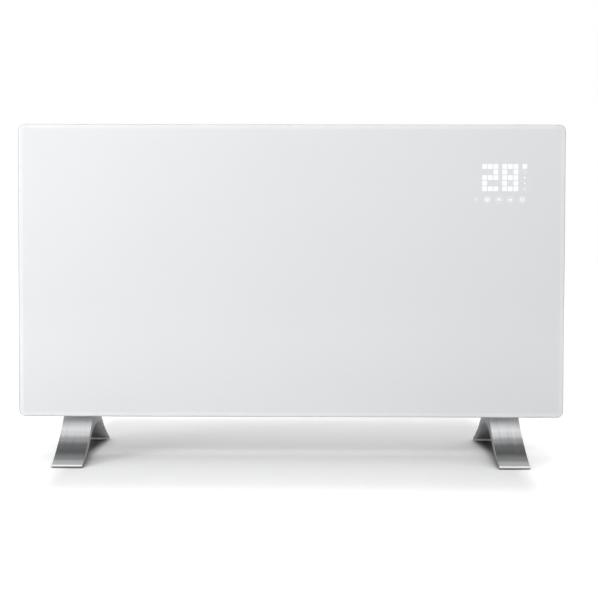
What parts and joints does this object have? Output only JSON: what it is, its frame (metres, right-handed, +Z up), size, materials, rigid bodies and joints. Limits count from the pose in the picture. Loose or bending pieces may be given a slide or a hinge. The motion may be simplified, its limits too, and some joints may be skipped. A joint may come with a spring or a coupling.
{
  "type": "panel convector heater",
  "caption": "Electric panel convector heater with a white glass front, slotted case and arched aluminium feet.",
  "frame": {"origin": "on the floor, midway between the feet and midway between their front and rear toes", "axes": "+X to the right of someone facing the glass, along the panel; +Y from the glass towards the wall; +Z up"},
  "size_m": [0.85, 0.24, 0.521],
  "materials": {
    "white_glass": "toughened glass, white enamel behind, polished edge",
    "silicone": "cured silicone, matt",
    "zinc_steel": "zinc plated sheet, satin",
    "powder_coat": "white powder coat, fine texture",
    "case_plastic": "moulded white plastic, fine texture",
    "screw_steel": "turned steel, satin",
    "black_plastic": "moulded black plastic",
    "rocker_plastic": "smooth black plastic",
    "plain_aluminium": "mill finish sheet",
    "element_aluminium": "extruded, matt",
    "foot_aluminium": "brushed along the leg, clear anodised",
    "ceramic": "unglazed, matt",
    "display_light": "lit diffuser behind the glass",
    "circuit_board": "green solder mask",
    "touch_rubber": "conductive foam rubber, matt",
    "copper_winding": "enamelled copper wire, taped",
    "lead_sleeve": "heat resistant silicone sleeve",
    "pendulum_steel": "blackened steel",
    "pad_rubber": "moulded rubber strip, matt"
  },
  "bodies": {
    "case": {"front_glass": "white_glass", "glass_bond": "silicone", "front_plate": "zinc_steel", "top_grille": "case_plastic", "bottom_grille": "case_plastic", "back_panel": "powder_coat", "cheek_left": "case_plastic", "cheek_right": "case_plastic", "back_screw_1": "screw_steel", "back_screw_2": "screw_steel", "back_screw_3": "screw_steel", "back_screw_4": "screw_steel", "back_screw_5": "screw_steel", "back_screw_6": "screw_steel", "cord_gland": "black_plastic", "heat_shield": "plain_aluminium", "heating_element": "element_aluminium", "element_bracket": "zinc_steel", "partition_plate": "zinc_steel", "ceramic_bush_left": "ceramic", "ceramic_bush_right": "ceramic", "thermal_cutout": "black_plastic", "room_sensor": "case_plastic", "display_light_box": "display_light", "display_board": "circuit_board", "touch_pad_mode": "touch_rubber", "touch_pad_up": "touch_rubber", "touch_pad_down": "touch_rubber", "touch_pad_timer": "touch_rubber", "display_carrier": "case_plastic", "wireless_module": "screw_steel", "control_tray": "black_plastic", "power_board": "circuit_board", "relay": "black_plastic", "transformer": "copper_winding", "capacitor": "black_plastic", "terminal_block": "case_plastic", "display_ribbon": "silicone", "lead_element_right": "lead_sleeve", "lead_element_left": "lead_sleeve", "lead_switch": "lead_sleeve", "switch_housing": "black_plastic", "tilt_switch_frame": "case_plastic", "hanger_plate_left": "zinc_steel", "hanger_plate_right": "zinc_steel", "foot_left": "foot_aluminium", "foot_right": "foot_aluminium", "foot_bracket_left": "zinc_steel", "foot_bracket_right": "zinc_steel", "foot_pad_left_front": "pad_rubber", "foot_pad_left_rear": "pad_rubber", "foot_pad_right_front": "pad_rubber", "foot_pad_right_rear": "pad_rubber", "foot_screw_left_front": "screw_steel", "foot_screw_left_rear": "screw_steel", "foot_screw_right_front": "screw_steel", "foot_screw_right_rear": "screw_steel"},
    "rocker": {"switch_rocker": "rocker_plastic"},
    "pendulum": {"tilt_pendulum": "pendulum_steel"}
  },
  "joints": [
    {"name": "main_switch_rock", "type": "hinge", "parent": "case", "child": "rocker", "pos_m": [0.4159, 0, 0.143], "axis": [0, -1, 0], "range_deg": [0, 18]},
    {"name": "tilt_switch_swing", "type": "hinge", "parent": "case", "child": "pendulum", "pos_m": [0.388, 0, 0.1095], "axis": [1, 0, 0], "range_deg": [-36, 36]}
  ]
}
